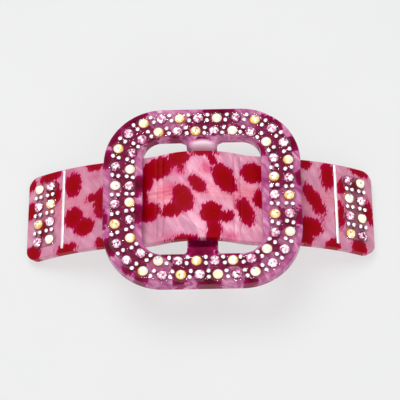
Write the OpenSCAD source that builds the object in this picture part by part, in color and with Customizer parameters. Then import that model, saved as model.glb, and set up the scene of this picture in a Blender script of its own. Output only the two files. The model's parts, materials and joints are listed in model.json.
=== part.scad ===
// Rhinestone hair clip: a leopard-spotted acetate strap threaded through a square acetate
// buckle, with rhinestones and seed beads glued round the buckle and on both strap ends,
// and an automatic spring clip behind the strap. X runs along the strap, +Y is the back
// edge and +Z is up. The clip stands on the two tip edges of its strap, at z = 0.

/* [Strap] */
// Length of the strap, tip to tip
strap_len = 96; // [94:0.5:98]
// Thickness of the acetate sheet
strap_t = 2.4; // [2.2:0.1:2.4]
// Width of the strap inside the buckle
strap_w = 26; // [25:0.5:26]
// Width of the strap's two wings
wing_w = 25; // [24:0.5:25]
// Radius of the strap's four corners
strap_corner_r = 3.2; // [2:0.2:4]
// Distance of each white inlay line from the middle
inlay_x = 37.55; // [37:0.05:38]

/* [Buckle] */
// Half of the buckle's length along the strap
buckle_half_x = 26.8; // [26.6:0.05:27]
// Half of the buckle's width across the strap
buckle_half_y = 26.2; // [26.1:0.05:26.4]
// Half of the window's length along the strap
window_half_x = 16.1; // [16:0.05:16.3]
// Half of the window's width across the strap
window_half_y = 17.42; // [17.42:0.02:17.6]
// Thickness of the buckle
buckle_t = 4; // [3.8:0.1:4.2]
// Outer corner radius of the buckle
buckle_corner_r = 16.3; // [16:0.1:16.6]
// Width of the crossbar that the strap passes over
crossbar_w = 8.3; // [7.5:0.1:8.5]

/* [Stones] */
// Diameter of each rhinestone
stone_d = 3.05; // [2.8:0.05:3.1]
// Height of each rhinestone
stone_h = 1.3; // [1.1:0.1:1.5]
// Diameter of each seed bead
bead_d = 1.2; // [1:0.05:1.2]

/* [Spring clip] */
// Width of the clip's base strip
base_w = 8; // [7.5:0.1:8.5]
// Width of the clasp arm
arm_w = 5; // [4.5:0.1:5.4]
// Diameter of the hinge pin
pin_d = 1.2; // [1:0.1:1.2]

/* [Hidden] */
$fn = 48;
arc_fn = 240;
eps = 0.02;

// The strap's middle line is three arcs on each side of the middle: the crown over the
// crossbar, the dip where it turns under the side bar, and the long wing to the tip.
// Each angle is the slope where one arc hands over to the next.
crown_r = 22;
dip_r = 22;
crown_slope = 26;
dip_slope = 3.8;
tip_slope = 36;
strap_edge_r = 0.9;
narrow_x0 = 16;
narrow_x1 = 26;
bend_steps = 9;
wing_steps = 14;
tip_steps = 5;
edge_steps = 2;
tip_x = strap_len / 2 - strap_t * sin(tip_slope);
crown_end_x = crown_r * sin(crown_slope);
dip_cx = crown_end_x + dip_r * sin(crown_slope);
dip_end_x = dip_cx - dip_r * sin(dip_slope);
wing_r = (tip_x - dip_end_x) / (sin(tip_slope) - sin(dip_slope));
wing_cx = dip_end_x - wing_r * sin(dip_slope);
wing_cz = -wing_r * cos(tip_slope);
dip_end_z = wing_cz + wing_r * cos(dip_slope);
dip_cz = dip_end_z + dip_r * cos(dip_slope);
crown_cz = dip_cz - (crown_r + dip_r) * cos(crown_slope);
wing_top_r = wing_r + strap_t;
corner_turn = strap_corner_r / wing_top_r * 180 / PI;
straight_wing = tip_slope - corner_turn - dip_slope;

// White inlay lines, let into the top of each wing
inlay_w = 0.75;
inlay_depth = 0.6;
inlay_near_gap = 1.2;

// Buckle: a flat frame whose underside rests on the strap
buckle_x = 1;
buckle_y = -0.3;
buckle_z = 13.2;
buckle_top = buckle_z + buckle_t;
rim_r = 0.5;
window_corner_r = 5.3;
window_rim_r = 0.4;

// Crossbar: low under the strap, and rising to the frame at both ends
crossbar_top = 14.15;
crossbar_bottom = 11.7;
crossbar_flat = 13.8;
crossbar_ramp = 1.8;
crossbar_sink = 0.3;
crossbar_rise = 1.3;
crossbar_root = 1.6;
fillet_r = 1.4;
fillet_blunt = 0.02;

// Two rows of stones round the buckle, each inset from one guide, a square with round
// corners. The rows were laid by eye, so each drifts a little from an even spacing, by the
// [amplitude, phase] of its first three harmonics.
row_guide_half = 26.45;
row_guide_r = 16.3;
row_y = -0.45;
outer_row_in = 3;
row_gap = 3.95;
inner_inset = outer_row_in + row_gap;
far_shift = 0.25;
outer_count = 31;
inner_count = 27;
outer_start = 27.8;
inner_start = 23.8;
outer_drift = [[0.6, 65], [0.85, -35], [0.2, -100]];
inner_drift = [[0.6, -145], [0.55, -35], [0.25, 155]];

// Two columns of four stones on each wing
wing_stone_x = 42.75;
wing_column_gap = 3.9;
wing_stone_pitch = 5.35;
wing_stones = 4;

// Shape of a flat-backed stone, and of the glue fillet round it
girdle_h = 0.3;
table_d = 1.7;
glue_w = 0.3;
glue_h = 0.35;
glue_gap = 0.01;
bead_r = bead_d / 2;
bead_apart = 1.7;

// Spring clip: arched strips, given by the radius and top height of their outer face
base_r = 120;
base_top = 11.35;
base_t = 0.7;
base_x0 = -35.2;
base_x1 = 34.6;
base_cz = base_top - base_r;
base_under_r = base_r - base_t;
sew_hole_x = 14;
sew_hole_d = 1.6;
clip_pad_x0 = 22;
clip_pad_x1 = 28.6;
clip_pad_w = 6.4;

arm_r = 142;
arm_top = 7.3;
arm_t = 0.8;

pin_x = -34;
pin_z = 2.9;
pin_clear = 0.05;
lug_in = 3.2;
lug_t = 0.8;
lug_r = 1.55;
knuckle_r = 1.15;
pin_head_d = 2.1;
pin_head_t = 0.4;

bar_bow = 1.5;
bar_half = 29.4;
spring_t = 0.35;
spring_w = 3.6;
hook_w = 1.8;
hook_t = 0.4;
spring_drop = base_under_r - sqrt(pow(base_under_r, 2) - pow(bar_half, 2)) - bar_bow + eps;
spring_r = (pow(bar_half, 2) / spring_drop + spring_drop) / 2;
spring_top = base_top - base_t - bar_bow;

latch_x = 32.4;
latch_tilt = asin(latch_x / base_under_r);
latch_z = base_cz + base_under_r * cos(latch_tilt);
saddle_half = 2.5;
saddle_t = 0.5;
rivet_u = 1.5;
rivet_d = 1;
rivet_head_d = 1.5;
rivet_head_t = 0.2;
wing_half = 1.25;
leg_in = 1.9;
leg_t = 0.5;
roll_r = 0.28;
roll_depth = 0.88;
leg_depth = 4.1;
hook_r = 0.25;
hook_depth = 3.85;
tab_depth = 1.45;
tab_t = 0.55;
tab_reach = 5.8;
loop_half_w = 4;
loop_rail_in = 3.1;
loop_x0 = latch_x - 3.9;
loop_x1 = latch_x + 1.9;
window_x0 = latch_x - 3.1;
window_x1 = latch_x + 1;

acetate = [0.72, 0.05, 0.25];
buckle_pink = [0.62, 0.16, 0.42];
stone_pink = [0.85, 0.55, 0.70];
stone_aurora = [0.97, 0.95, 0.82];
glue_clear = [0.93, 0.88, 0.93];

// ---- shared shapes ----

// Sweeps a section about an axis along Y. The section's x is the distance from the axis
// and its y is the strap's width. Angles are from straight up, towards +X.
module swept(cx, cz, from, to) {
    translate([cx, 0, cz])
        rotate([-90, 0, 0])
            rotate([0, 0, from - 90])
                rotate_extrude(angle = to - from, $fn = arc_fn) children();
}

// A plain cylinder along Y, centred on y = 0
module y_cylinder(x, z, r, width, fn = $fn) {
    translate([x, 0, z])
        rotate([90, 0, 0]) cylinder(r = r, h = width, center = true, $fn = fn);
}

// A box given by its lowest and highest corners
module block(low, high) {
    translate(low) cube(high - low);
}

module both_sides() {
    children();
    mirror([1, 0, 0]) children();
}

// An arched metal strip, from x0 to x1, of the given top height, outer radius and width
module arched_strip(top, r, t, x0, x1, w) {
    swept(0, top - r, asin(x0 / r), asin(x1 / r))
        translate([r - t, -w / 2]) square([t, w]);
}

// ---- strap and inlays ----

// Stations along the right half of the strap, from the middle to the tip. Each is
// [x, z, slope] on the underside, where a slope above 0 falls towards +X.
half_stations = concat(
    [for (i = [0:bend_steps - 1])
        let (a = crown_slope * i / bend_steps)
        [crown_r * sin(a), crown_cz + crown_r * cos(a), a]],
    [for (i = [0:bend_steps - 1])
        let (a = crown_slope + (dip_slope - crown_slope) * i / bend_steps)
        [dip_cx - dip_r * sin(a), dip_cz - dip_r * cos(a), a]],
    [for (i = [0:wing_steps - 1]) wing_station(dip_slope + straight_wing * i / wing_steps)],
    [for (i = [0:tip_steps])
        wing_station(tip_slope - corner_turn * (1 - sin(90 * i / tip_steps)))]
);
stations = concat(
    [for (i = [len(half_stations) - 1:-1:1])
        let (s = half_stations[i]) [-s.x, s.y, -s.z]],
    half_stations
);

function wing_station(a) = [wing_cx + wing_r * sin(a), wing_cz + wing_r * cos(a), a];

function smooth(t) = t <= 0 ? 0 : t >= 1 ? 1 : t * t * (3 - 2 * t);

// Half the strap's width at a station: it narrows under the side bar, and the corners at
// its tip are round
function half_width(s) =
    let (
        narrowing = smooth((abs(s.x) - narrow_x0) / (narrow_x1 - narrow_x0)),
        side = strap_w / 2 + (wing_w - strap_w) / 2 * narrowing,
        into_corner = max(0, 1 - (tip_slope - abs(s.z)) / corner_turn)
    )
    side - strap_corner_r * (1 - sqrt(max(0, 1 - into_corner * into_corner)));

// The strap's cross-section at a station: a rectangle with round edges
function section(s) =
    let (w = half_width(s) - strap_edge_r, n = strap_t - strap_edge_r)
    [for (q = [0:3], j = [0:edge_steps])
        let (
            a = 90 * (q + j / edge_steps),
            y = (q == 0 || q == 3 ? w : -w) + strap_edge_r * cos(a),
            h = (q < 2 ? n : strap_edge_r) + strap_edge_r * sin(a)
        )
        [s.x + h * sin(s.z), y, s.y + h * cos(s.z)]];

module strap_sheet() {
    ring = 4 * (edge_steps + 1);
    last = len(stations) - 1;
    polyhedron(
        points = [for (s = stations) each section(s)],
        faces = concat(
            [[for (j = [0:ring - 1]) j]],
            [[for (j = [ring - 1:-1:0]) last * ring + j]],
            [for (i = [0:last - 1], j = [0:ring - 1])
                let (k = (j + 1) % ring)
                [i * ring + j, (i + 1) * ring + j, (i + 1) * ring + k, i * ring + k]]
        )
    );
}

// The band just under the top face of a wing where the inlay lies
module inlay_band() {
    intersection() {
        swept(wing_cx, wing_cz, dip_slope, tip_slope)
            translate([wing_top_r - inlay_depth, -wing_w / 2]) square([inlay_depth, wing_w]);
        block([inlay_x - inlay_w / 2, inlay_near_gap - wing_w / 2, 0],
              [inlay_x + inlay_w / 2, wing_w / 2 - strap_edge_r / 2, 20]);
    }
}

module strap() {
    color(acetate)
        difference() {
            strap_sheet();
            both_sides() inlay_band();
        }
}

module inlay_right() {
    color("white") inlay_band();
}

module inlay_left() {
    color("white") mirror([1, 0, 0]) inlay_band();
}

// ---- buckle ----

// Sweeps a section round a rectangle with round corners, whose corner centres stand at
// +-cx, +-cy. The section's x runs outwards from those centres, and its y is height.
module swept_frame(cx, cy) {
    for (turn = [0, 180])
        rotate([0, 0, turn]) translate([cx, cy, 0])
            rotate([90, 0, 0]) linear_extrude(2 * cy) children();
    for (turn = [90, 270])
        rotate([0, 0, turn]) translate([cy, cx, 0])
            rotate([90, 0, 0]) linear_extrude(2 * cx) children();
    for (turn = [0, 180])
        rotate([0, 0, turn]) {
            translate([cx, cy, 0]) rotate_extrude(angle = 90) children();
            translate([-cx, cy, 0]) rotate([0, 0, 90]) rotate_extrude(angle = 90) children();
        }
}

// From the middle of the frame's plate to its rounded outer rim
module plate_section() {
    square([buckle_corner_r - rim_r, buckle_t]);
    translate([0, rim_r]) square([buckle_corner_r, buckle_t - 2 * rim_r]);
    for (y = [rim_r, buckle_t - rim_r])
        translate([buckle_corner_r - rim_r, y]) circle(rim_r);
}

// The cutter for the window flares at top and bottom, which rounds the window's rim
module window_section() {
    translate([0, -1]) square([window_corner_r, buckle_t + 2]);
    for (y = [-1, buckle_t - window_rim_r])
        difference() {
            translate([window_corner_r - window_rim_r, y])
                square([2 * window_rim_r, window_rim_r + 1]);
            translate([window_corner_r + window_rim_r, y < 0 ? window_rim_r : y])
                circle(window_rim_r);
        }
}

module frame_plate() {
    cx = buckle_half_x - buckle_corner_r;
    cy = buckle_half_y - buckle_corner_r;
    swept_frame(cx, cy) plate_section();
    block([-cx, -cy, 0], [cx, cy, buckle_t]);
}

module window_cutter() {
    cx = window_half_x - window_corner_r;
    cy = window_half_y - window_corner_r;
    swept_frame(cx, cy) window_section();
    block([-cx, -cy, -1], [cx, cy, buckle_t + 1]);
}

// The crossbar is sunk below the frame so that the strap can pass over it
module crossbar() {
    top = crossbar_top - buckle_z;
    bottom = crossbar_bottom - buckle_z;
    root = window_half_y + crossbar_root;
    shoulder = buckle_t - crossbar_sink;
    ramp_end = crossbar_flat + crossbar_ramp;
    profile = [
        [-root, bottom + crossbar_rise], [-window_half_y, bottom + crossbar_rise],
        [-crossbar_flat, bottom], [crossbar_flat, bottom],
        [window_half_y, bottom + crossbar_rise], [root, bottom + crossbar_rise],
        [root, shoulder], [ramp_end, shoulder], [crossbar_flat, top],
        [-crossbar_flat, top], [-ramp_end, shoulder], [-root, shoulder]
    ];
    translate([-crossbar_w / 2, 0, 0])
        rotate([90, 0, 90]) linear_extrude(crossbar_w) polygon(profile);
}

// Fillets in the four corners where the crossbar meets the frame
module crossbar_fillets() {
    for (turn = [0, 180], side = [0, 1])
        rotate([0, 0, turn]) mirror([side, 0, 0])
            translate([crossbar_w / 2, window_half_y, window_rim_r])
                linear_extrude(buckle_t - 2 * window_rim_r)
                    difference() {
                        translate([-0.5, -fillet_r]) square([fillet_r + 0.5, fillet_r + 0.5]);
                        translate([fillet_r, -fillet_r]) circle(fillet_r - fillet_blunt);
                    }
}

module buckle() {
    color(buckle_pink)
        translate([buckle_x, buckle_y, buckle_z]) {
            difference() {
                frame_plate();
                window_cutter();
            }
            crossbar();
            crossbar_fillets();
        }
}

// Glue that fills the wedge between the strap's dip and the buckle's side bars
module buckle_glue() {
    color(glue_clear)
        both_sides()
            for (y = [-8, 8])
                difference() {
                    block([20, y - 3, 11], [23.5, y + 3, buckle_z]);
                    y_cylinder(wing_cx, wing_cz, wing_top_r, strap_w, arc_fn);
                }
}

// ---- stones ----

// Point at a distance along a rounded square, clockwise from the middle of its far side
function ring_point(s, half, r) =
    let (
        flat = half - r,
        side = 2 * flat + PI / 2 * r,
        along = s + flat,
        turn = floor(along / side),
        t = along - side * turn,
        a = (t - 2 * flat) / r * 180 / PI,
        p = t < 2 * flat ? [t - flat, half] : [flat + r * sin(a), flat + r * cos(a)]
    )
    turned(p, turn % 4);

function turned(p, quarter) = quarter == 0 ? p : turned([p.y, -p.x], quarter - 1);

function ring_length(half, r) = 8 * (half - r) + 2 * PI * r;

function wobble(f, harmonics) =
    harmonics[0][0] * cos(360 * f - harmonics[0][1])
    + harmonics[1][0] * cos(720 * f - harmonics[1][1])
    + harmonics[2][0] * cos(1080 * f - harmonics[2][1]);

// Place number i of a row of count stones. Half numbers are the gaps between stones.
function row_place(i, count, start, inset, harmonics) =
    let (
        half = row_guide_half - inset,
        r = row_guide_r - inset,
        pitch = ring_length(half, r) / count,
        p = ring_point((i + start) * pitch + wobble(i / count, harmonics), half, r)
    )
    [p.x + buckle_x, p.y + row_y - (p.y > 0 ? far_shift : 0), buckle_top];

// Unit step across a row, from the outer edge inwards, at place i
function row_across(i, count, start, inset, harmonics) =
    let (
        a = row_place(i, count, start, inset, harmonics),
        b = row_place(i, count, start, inset + 0.5, harmonics)
    )
    (b - a) / norm(b - a);

// Each row is an alternating run of aurora and pink stones. In the outer row the run
// restarts at three places, where two pink stones lie side by side.
outer_doubles = [8, 15, 24];
function outer_is_pink(i) = (i + len([for (d = outer_doubles) if (i >= d) d])) % 2 == 1;
function inner_is_pink(i) = i % 2 == 0;

module stone() {
    rotate_extrude()
        polygon([
            [0, 0], [stone_d / 2, 0], [stone_d / 2, girdle_h],
            [table_d / 2, stone_h], [0, stone_h]
        ]);
}

module glue_fillet() {
    rotate_extrude()
        polygon([
            [stone_d / 2 + glue_gap, 0], [stone_d / 2 + glue_w, 0],
            [stone_d / 2 + glue_gap, glue_h]
        ]);
}

module bead() {
    translate([0, 0, bead_r]) sphere(bead_r);
}

module outer_row(pick) {
    for (i = [0:outer_count - 1])
        if (pick == "all" || outer_is_pink(i) == (pick == "pink"))
            translate(row_place(i, outer_count, outer_start, outer_row_in, outer_drift))
                children();
}

module inner_row(pick) {
    for (i = [0:inner_count - 1])
        if (pick == "all" || inner_is_pink(i) == (pick == "pink"))
            translate(row_place(i, inner_count, inner_start, inner_inset, inner_drift))
                children();
}

// Two beads side by side, across the row, in every gap between neighbouring stones
module row_beads(count, start, inset, harmonics) {
    for (i = [0:count - 1], side = [-1, 1])
        translate(row_place(i + 0.5, count, start, inset, harmonics)
                  + side * bead_apart / 2 * row_across(i + 0.5, count, start, inset, harmonics))
            bead();
}

module buckle_stones_pink() {
    color(stone_pink) {
        outer_row("pink") stone();
        inner_row("pink") stone();
    }
}

module buckle_stones_aurora() {
    color(stone_aurora) {
        outer_row("aurora") stone();
        inner_row("aurora") stone();
    }
}

module buckle_beads() {
    color("silver") {
        row_beads(outer_count, outer_start, outer_row_in, outer_drift);
        row_beads(inner_count, inner_start, inner_inset, inner_drift);
    }
}

module buckle_stone_glue() {
    color(glue_clear) {
        outer_row("all") glue_fillet();
        inner_row("all") glue_fillet();
    }
}

// Carries a child from the origin to the top face of a wing, at arc distance along the
// wing from the middle of its stones. side is 1 for the right wing and -1 for the left.
module on_wing(side, along, y) {
    tilt = asin((wing_stone_x - wing_cx) / wing_top_r) + along / wing_top_r * 180 / PI;
    translate([side * wing_cx, y, wing_cz])
        rotate([0, side * tilt, 0])
            translate([0, 0, wing_top_r]) children();
}

function wing_stone_y(row) = (row - (wing_stones - 1) / 2) * wing_stone_pitch;

// Columns run along Y, with pink and aurora stones set as on a chequerboard
module wing_stones(side, pick) {
    for (column = [0, 1], row = [0:wing_stones - 1])
        if (pick == "all" || ((column + row) % 2 == 1) == (pick == "pink"))
            on_wing(side, (column - 0.5) * wing_column_gap, wing_stone_y(row)) children();
}

module wing_beads(side) {
    for (column = [0, 1], row = [0:wing_stones - 2], across = [-1, 1])
        on_wing(side, (column - 0.5) * wing_column_gap + across * bead_apart / 2,
                wing_stone_y(row + 0.5))
            bead();
}

module left_stones_pink() {
    color(stone_pink) wing_stones(-1, "pink") stone();
}

module left_stones_aurora() {
    color(stone_aurora) wing_stones(-1, "aurora") stone();
}

module left_beads() {
    color("silver") wing_beads(-1);
}

module left_stone_glue() {
    color(glue_clear) wing_stones(-1, "all") glue_fillet();
}

module right_stones_pink() {
    color(stone_pink) wing_stones(1, "pink") stone();
}

module right_stones_aurora() {
    color(stone_aurora) wing_stones(1, "aurora") stone();
}

module right_beads() {
    color("silver") wing_beads(1);
}

module right_stone_glue() {
    color(glue_clear) wing_stones(1, "all") glue_fillet();
}

// ---- spring clip ----

// Lugs turned down from the base's left end, which hold the hinge pin
module hinge_lugs() {
    for (side = [-1, 1])
        translate([0, side * (lug_in + lug_t / 2), 0])
            difference() {
                union() {
                    y_cylinder(pin_x, pin_z, lug_r, lug_t);
                    translate([0, lug_t / 2, 0])
                        rotate([90, 0, 0])
                            linear_extrude(lug_t)
                                polygon([
                                    [pin_x - lug_r, pin_z], [pin_x + lug_r, pin_z],
                                    [pin_x + lug_r + 1, 5.9], [pin_x - 1.1, 5.9],
                                    [pin_x - lug_r, 5.2]
                                ]);
                }
                y_cylinder(pin_x, pin_z, pin_d / 2, lug_t + 2);
            }
}

// Both ends of the tension bar hook up through slots in the base
module hook_slots(gap) {
    for (side = [-1, 1])
        translate([side * (bar_half - hook_t / 2), 0, base_top - base_t - 3.9])
            translate([-hook_t / 2 - gap, -hook_w / 2 - gap, 0])
                cube([hook_t + 2 * gap, hook_w + 2 * gap, 1.1 + 4 * gap]);
}

module clip_base() {
    color([0.8, 0.8, 0.82])
        difference() {
            union() {
                arched_strip(base_top, base_r, base_t, base_x0, base_x1, base_w);
                hinge_lugs();
            }
            for (side = [-1, 1])
                translate([side * sew_hole_x, 0, 0]) cylinder(d = sew_hole_d, h = 20);
            hook_slots(0.05);
            in_latch_frame() latch_rivet_places() cylinder(d = rivet_d, h = 4, center = true);
        }
}

// Glue pads between the base and the strap's two wings
module clip_glue() {
    color(glue_clear)
        both_sides()
            difference() {
                intersection() {
                    block([clip_pad_x0, -clip_pad_w / 2, 4], [clip_pad_x1, clip_pad_w / 2, 12]);
                    y_cylinder(wing_cx, wing_cz, wing_r - eps, strap_w, arc_fn);
                }
                y_cylinder(0, base_cz, base_r, strap_w, arc_fn);
            }
}

module hinge_pin() {
    color([0.7, 0.7, 0.72]) {
        y_cylinder(pin_x, pin_z, pin_d / 2, 2 * (lug_in + lug_t));
        for (side = [-1, 1])
            translate([0, side * (lug_in + lug_t + pin_head_t / 2), 0])
                y_cylinder(pin_x, pin_z, pin_head_d / 2, pin_head_t);
    }
}

// The arm ends in a loop that drops over the latch's two legs
module clasp_arm() {
    color([0.82, 0.82, 0.84])
        difference() {
            union() {
                difference() {
                    arched_strip(arm_top, arm_r, arm_t, pin_x, loop_x1, 2 * loop_half_w);
                    for (side = [-1, 1])
                        translate([pin_x - 1, side * (arm_w + base_w) / 2 - base_w / 2, 0])
                            cube([loop_x0 - pin_x + 1, base_w, 10]);
                }
                y_cylinder(pin_x, pin_z, knuckle_r, 2 * lug_in - 0.4);
            }
            block([window_x0, -loop_rail_in, 0], [window_x1, loop_rail_in, 6]);
            y_cylinder(pin_x, pin_z, pin_d / 2 + pin_clear, 2 * lug_in + 2);
        }
}

module tension_bar() {
    color([0.72, 0.72, 0.75]) {
        arched_strip(spring_top, spring_r, spring_t, -bar_half, bar_half, spring_w);
        hook_slots(0);
    }
}

// Frame of the latch: origin on the base's underside, local z square to the base
module in_latch_frame() {
    translate([latch_x, 0, latch_z]) rotate([0, latch_tilt, 0]) children();
}

module latch_rivet_places() {
    for (u = [-rivet_u, rivet_u]) translate([u, 0, 0]) children();
}

module latch_saddle() {
    color([0.76, 0.76, 0.79])
        in_latch_frame()
            difference() {
                block([-saddle_half, -leg_in - leg_t, -saddle_t - 0.05],
                      [saddle_half, leg_in + leg_t, -0.05]);
                latch_rivet_places() cylinder(d = rivet_d, h = 4, center = true);
            }
}

module latch_rivets() {
    color([0.7, 0.7, 0.72])
        in_latch_frame()
            latch_rivet_places()
                translate([0, 0, -saddle_t - 0.05 - rivet_head_t]) {
                    cylinder(d = rivet_head_d, h = rivet_head_t);
                    cylinder(d = rivet_d, h = saddle_t + base_t + rivet_head_t + 0.1);
                    translate([0, 0, saddle_t + base_t + rivet_head_t + 0.07])
                        cylinder(d = rivet_head_d, h = rivet_head_t);
                }
}

// One leg of the latch, with its hook under the arm's loop and its finger tab outside
module latch_wing(side) {
    color([0.78, 0.78, 0.8])
        in_latch_frame()
            mirror([0, (1 - side) / 2, 0]) {
                block([-wing_half, leg_in, -leg_depth],
                      [wing_half, leg_in + leg_t, -roll_depth]);
                along_u(leg_in + leg_t / 2, -roll_depth, roll_r);
                along_u(leg_in + leg_t - 0.1, -hook_depth, hook_r);
                block([-wing_half, leg_in + leg_t / 2, -tab_depth - tab_t / 2],
                      [wing_half, tab_reach, -tab_depth + tab_t / 2]);
                along_u(tab_reach, -tab_depth, tab_t / 2);
            }
}

module along_u(y, z, r) {
    translate([0, y, z]) rotate([0, 90, 0]) cylinder(r = r, h = 2 * wing_half, center = true);
}

module latch_wing_front() {
    latch_wing(-1);
}

module latch_wing_back() {
    latch_wing(1);
}

strap();
inlay_left();
inlay_right();
buckle();
buckle_glue();
buckle_stones_pink();
buckle_stones_aurora();
buckle_beads();
buckle_stone_glue();
left_stones_pink();
left_stones_aurora();
left_beads();
left_stone_glue();
right_stones_pink();
right_stones_aurora();
right_beads();
right_stone_glue();
clip_base();
clip_glue();
hinge_pin();
clasp_arm();
tension_bar();
latch_saddle();
latch_rivets();
latch_wing_front();
latch_wing_back();
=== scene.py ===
"""Rhinestone hair clip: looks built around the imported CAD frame. Lengths below are in millimetres."""

import json
import math
import random

import bmesh
import bpy
import numpy as np
from mathutils import Matrix, Vector

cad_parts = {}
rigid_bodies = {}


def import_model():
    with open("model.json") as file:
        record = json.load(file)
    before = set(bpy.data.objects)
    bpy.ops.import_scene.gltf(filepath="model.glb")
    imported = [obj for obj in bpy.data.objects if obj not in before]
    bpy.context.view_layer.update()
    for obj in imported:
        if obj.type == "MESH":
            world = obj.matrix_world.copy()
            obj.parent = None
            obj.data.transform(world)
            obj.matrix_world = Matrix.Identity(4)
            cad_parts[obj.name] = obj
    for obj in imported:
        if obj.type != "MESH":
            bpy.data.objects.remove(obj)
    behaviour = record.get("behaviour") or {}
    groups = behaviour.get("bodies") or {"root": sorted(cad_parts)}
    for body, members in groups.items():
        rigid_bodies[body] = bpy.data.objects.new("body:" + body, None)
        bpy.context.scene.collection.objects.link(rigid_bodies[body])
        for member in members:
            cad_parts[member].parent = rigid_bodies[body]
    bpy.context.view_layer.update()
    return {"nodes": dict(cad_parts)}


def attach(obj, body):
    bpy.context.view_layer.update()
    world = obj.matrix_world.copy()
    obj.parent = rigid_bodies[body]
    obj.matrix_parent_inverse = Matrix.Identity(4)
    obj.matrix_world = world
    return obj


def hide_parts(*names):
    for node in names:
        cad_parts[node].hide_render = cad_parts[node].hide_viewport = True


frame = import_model()
nodes = frame["nodes"]
MM = 0.001

# ---- the strap: three arcs on each side of the middle, as in the CAD source ----

# Its edges are sharper here than the CAD's 0.9 mm, and its sides up to 0.15 mm fuller
STRAP_LEN = 96.0
STRAP_T = 2.4
STRAP_W = 26.1
WING_W = 25.3
CORNER_R = 3.2
EDGE_R = 0.4
TIP_EDGE_R = 0.25
CROWN_R = 22.0
DIP_R = 22.0
CROWN_SLOPE = math.radians(26)
DIP_SLOPE = math.radians(3.8)
TIP_SLOPE = math.radians(36)
NARROW_X0 = 16.0
NARROW_X1 = 26.0
INLAY_X = 37.55
INLAY_W = 0.75
INLAY_DEPTH = 0.42
GROOVE_NEAR_Y = 1.2 - WING_W / 2
GROOVE_LIP = 0.02

TIP_X = STRAP_LEN / 2 - STRAP_T * math.sin(TIP_SLOPE)
DIP_CX = (CROWN_R + DIP_R) * math.sin(CROWN_SLOPE)
DIP_END_X = DIP_CX - DIP_R * math.sin(DIP_SLOPE)
WING_R = (TIP_X - DIP_END_X) / (math.sin(TIP_SLOPE) - math.sin(DIP_SLOPE))
WING_CX = DIP_END_X - WING_R * math.sin(DIP_SLOPE)
WING_CZ = -WING_R * math.cos(TIP_SLOPE)
DIP_CZ = WING_CZ + (WING_R + DIP_R) * math.cos(DIP_SLOPE)
CROWN_CZ = DIP_CZ - (CROWN_R + DIP_R) * math.cos(CROWN_SLOPE)
WING_TOP_R = WING_R + STRAP_T
CORNER_TURN = CORNER_R / WING_TOP_R

# ---- the buckle, as in the CAD source ----

BUCKLE_HALF_X = 26.8
BUCKLE_HALF_Y = 26.2
BUCKLE_R = 16.3
WINDOW_HALF_X = 16.1
WINDOW_HALF_Y = 17.42
WINDOW_R = 5.3
BUCKLE_T = 4.0
BUCKLE_X = 1.0
BUCKLE_Y = -0.3
BUCKLE_Z = 13.2
BUCKLE_TOP = BUCKLE_Z + BUCKLE_T
RIM_R = 0.5
WINDOW_RIM_R = 0.4
CROSSBAR_W = 8.3
CROSSBAR_TOP = 14.15
CROSSBAR_LOW = 11.7
CROSSBAR_RISE = 1.3
CROSSBAR_FLAT = 13.8
CROSSBAR_RAMP_END = 15.6
CROSSBAR_BLEND = 0.15
CROSSBAR_SINK = 0.3
CROSSBAR_TOP_R = 0.85
CROSSBAR_LOW_R = 0.5
FILLET_R = 1.4

# ---- the guide that the buckle's two rows of stones are inset from ----

GUIDE_HALF = 26.45
GUIDE_R = 16.3
ROW_Y = -0.45
STONE_R = 1.525


# ---- helpers ----


def rgb(r, g, b):
    """A colour given as 0 to 255 screen values, as the linear colour that a shader takes."""
    out = []
    for v in (r, g, b):
        v = v / 255
        out.append(v / 12.92 if v <= 0.04045 else ((v + 0.055) / 1.055) ** 2.4)
    return (*out, 1.0)


def smooth(t):
    t = np.clip(t, 0, 1)
    return t * t * (3 - 2 * t)


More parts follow.
